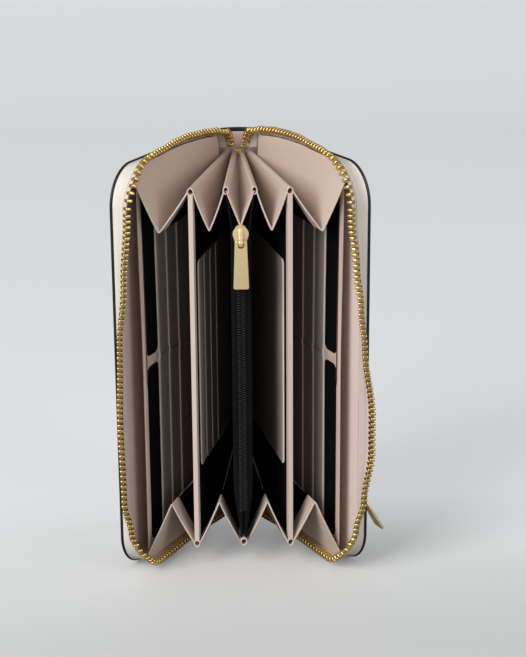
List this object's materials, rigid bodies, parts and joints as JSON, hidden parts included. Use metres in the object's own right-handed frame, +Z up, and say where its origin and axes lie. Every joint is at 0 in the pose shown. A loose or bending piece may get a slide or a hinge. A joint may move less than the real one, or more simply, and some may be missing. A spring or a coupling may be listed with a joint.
{
  "type": "zip-around long wallet",
  "caption": "Zip-around long wallet on its short end, fanned open: covers hinged on a round spine, card leaves, dividers, coin pouch, folded gussets, moving sliders and pulls.",
  "frame": {"origin": "middle of the spine's foot, at its back, on the plane that the wallet stands on", "axes": "+X across the fan to the right of someone facing the opening, +Y towards the spine, +Z up along the spine"},
  "size_m": [0.1255, 0.0985, 0.2024],
  "materials": {
    "outer_leather": "pebbled, semi-matt",
    "lining_leather": "smooth, satin",
    "board": "fibreboard",
    "zip_tape": "ribbed tape",
    "gold_teeth": "polished",
    "pale_gold": "polished",
    "black_fabric": "plain weave"
  },
  "bodies": {
    "spine": {"spine_leather": "outer_leather", "spine_lining": "lining_leather", "accordion_back": "black_fabric", "pouch_wall_left": "black_fabric", "pouch_wall_right": "black_fabric", "pouch_top_end": "lining_leather", "pouch_foot_end": "lining_leather", "pouch_zip_tape": "black_fabric", "pouch_zip_coil": "black_fabric", "zip_end_tapes": "zip_tape", "zip_end_teeth": "gold_teeth", "zip_top_stop": "gold_teeth", "main_slider": "pale_gold", "gusset_a_top": "lining_leather", "gusset_b_top": "lining_leather", "gusset_d_top": "lining_leather", "gusset_e_top": "lining_leather", "gusset_a_foot": "lining_leather", "gusset_b_foot": "lining_leather", "gusset_d_foot": "lining_leather", "gusset_e_foot": "lining_leather"},
    "left_cover": {"left_outer_leather": "outer_leather", "left_board": "board", "left_lining": "lining_leather", "left_side_band": "outer_leather", "left_zip_tape": "zip_tape", "left_zip_teeth": "gold_teeth"},
    "right_cover": {"right_outer_leather": "outer_leather", "right_board": "board", "right_lining": "lining_leather", "right_side_band": "outer_leather", "right_zip_tape": "zip_tape", "right_zip_teeth": "gold_teeth", "back_pocket_bag": "black_fabric", "back_zip_tape": "black_fabric", "back_zip_coil": "pale_gold"},
    "left_leaf": {"left_leaf_panel": "lining_leather", "left_card_slot_1": "lining_leather", "left_card_slot_2": "lining_leather", "left_card_slot_3": "lining_leather"},
    "right_leaf": {"right_leaf_panel": "lining_leather", "right_card_slot_1": "lining_leather", "right_card_slot_2": "lining_leather", "right_card_slot_3": "lining_leather"},
    "left_divider": {"left_divider_panel": "lining_leather", "left_divider_slot_1": "lining_leather", "left_divider_slot_2": "lining_leather", "left_divider_slot_3": "lining_leather", "left_divider_slot_4": "lining_leather"},
    "right_divider": {"right_divider_panel": "lining_leather", "right_slip_pocket": "lining_leather"},
    "pouch_slider": {"pouch_slider": "pale_gold"},
    "pouch_pull": {"pouch_pull": "pale_gold"},
    "main_pull": {"main_pull": "pale_gold"},
    "back_slider": {"back_slider": "pale_gold"},
    "back_pull": {"back_pull": "pale_gold"}
  },
  "joints": [
    {"name": "left_cover_fold", "type": "hinge", "parent": "spine", "child": "left_cover", "pos_m": [-0.006, -0.005, 0], "axis": [0, 0, 1], "range_deg": [-15, 28], "deforming": ["spine_leather", "spine_lining", "zip_end_tapes", "zip_end_teeth", "pouch_top_end", "gusset_a_top", "gusset_b_top", "gusset_a_foot", "gusset_b_foot"]},
    {"name": "right_cover_fold", "type": "hinge", "parent": "spine", "child": "right_cover", "pos_m": [0.006, -0.005, 0], "axis": [0, 0, -1], "range_deg": [-15, 28], "deforming": ["gusset_d_top", "gusset_e_top", "gusset_d_foot", "gusset_e_foot"]},
    {"name": "left_leaf_fold", "type": "hinge", "parent": "spine", "child": "left_leaf", "pos_m": [-0.006, -0.005, 0], "axis": [0, 0, 1], "range_deg": [-13.2, 24.6]},
    {"name": "right_leaf_fold", "type": "hinge", "parent": "spine", "child": "right_leaf", "pos_m": [0.006, -0.005, 0], "axis": [0, 0, -1], "range_deg": [-13.2, 24.6]},
    {"name": "left_divider_fold", "type": "hinge", "parent": "spine", "child": "left_divider", "pos_m": [-0.006, -0.005, 0], "axis": [0, 0, 1], "range_deg": [-6, 11.2]},
    {"name": "right_divider_fold", "type": "hinge", "parent": "spine", "child": "right_divider", "pos_m": [0.006, -0.005, 0], "axis": [0, 0, -1], "range_deg": [-6, 11.2]},
    {"name": "pouch_slide", "type": "slide", "parent": "spine", "child": "pouch_slider", "axis": [0, 0, -1], "range_m": [0, 0.125], "deforming": ["pouch_zip_tape", "pouch_zip_coil"]},
    {"name": "pouch_pull_swing", "type": "hinge", "parent": "pouch_slider", "child": "pouch_pull", "pos_m": [0, -0.0877, 0.161], "axis": [-1, 0, 0], "range_deg": [0, 170]},
    {"name": "main_pull_swing", "type": "hinge", "parent": "spine", "child": "main_pull", "pos_m": [0, -0.01638, 0.00528], "axis": [-1, 0, 0], "range_deg": [-120, 0]},
    {"name": "back_slide", "type": "slide", "parent": "right_cover", "child": "back_slider", "axis": [0, 0, 1], "range_m": [0, 0.13], "deforming": ["back_zip_tape", "back_zip_coil"]},
    {"name": "back_pull_swing", "type": "hinge", "parent": "back_slider", "child": "back_pull", "pos_m": [0.0559, -0.07635, 0.033], "axis": [0.4695, -0.8829, 0], "range_deg": [0, 140]}
  ],
  "couplings": [
    {"joint": "left_leaf_fold", "follows": "left_cover_fold", "ratio": 0.875},
    {"joint": "left_divider_fold", "follows": "left_cover_fold", "ratio": 0.3964},
    {"joint": "right_leaf_fold", "follows": "right_cover_fold", "ratio": 0.875},
    {"joint": "right_divider_fold", "follows": "right_cover_fold", "ratio": 0.3964}
  ]
}
